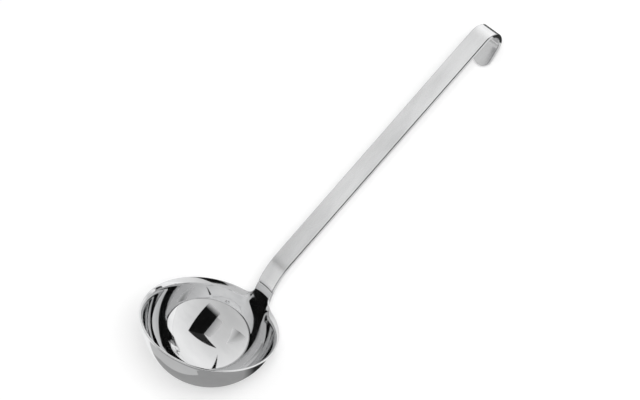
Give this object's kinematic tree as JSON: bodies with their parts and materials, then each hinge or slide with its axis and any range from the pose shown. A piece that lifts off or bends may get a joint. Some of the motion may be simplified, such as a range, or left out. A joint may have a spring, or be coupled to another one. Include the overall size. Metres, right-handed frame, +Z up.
{
  "type": "ladle",
  "caption": "Stainless steel hook ladle: deep round bowl with a rolled-out pouring lip, and a flat strap handle bent over into a hanging hook.",
  "frame": {"origin": "on the table under the middle of the lying ladle's bounding box", "axes": "+X from the bowl to the hook, +Y across the strap, +Z up from the table the ladle lies on, resting on its bowl and on the hook's tip"},
  "size_m": [0.3186, 0.095, 0.0756],
  "materials": {
    "polished_steel": "mirror-polished stainless steel",
    "satin_steel": "satin stainless steel, fine lengthwise grain",
    "weld_steel": "fused steel, dull"
  },
  "bodies": {
    "root": {"bowl": "polished_steel", "handle": "satin_steel", "weld_left": "weld_steel", "weld_right": "weld_steel"}
  },
  "joints": []
}
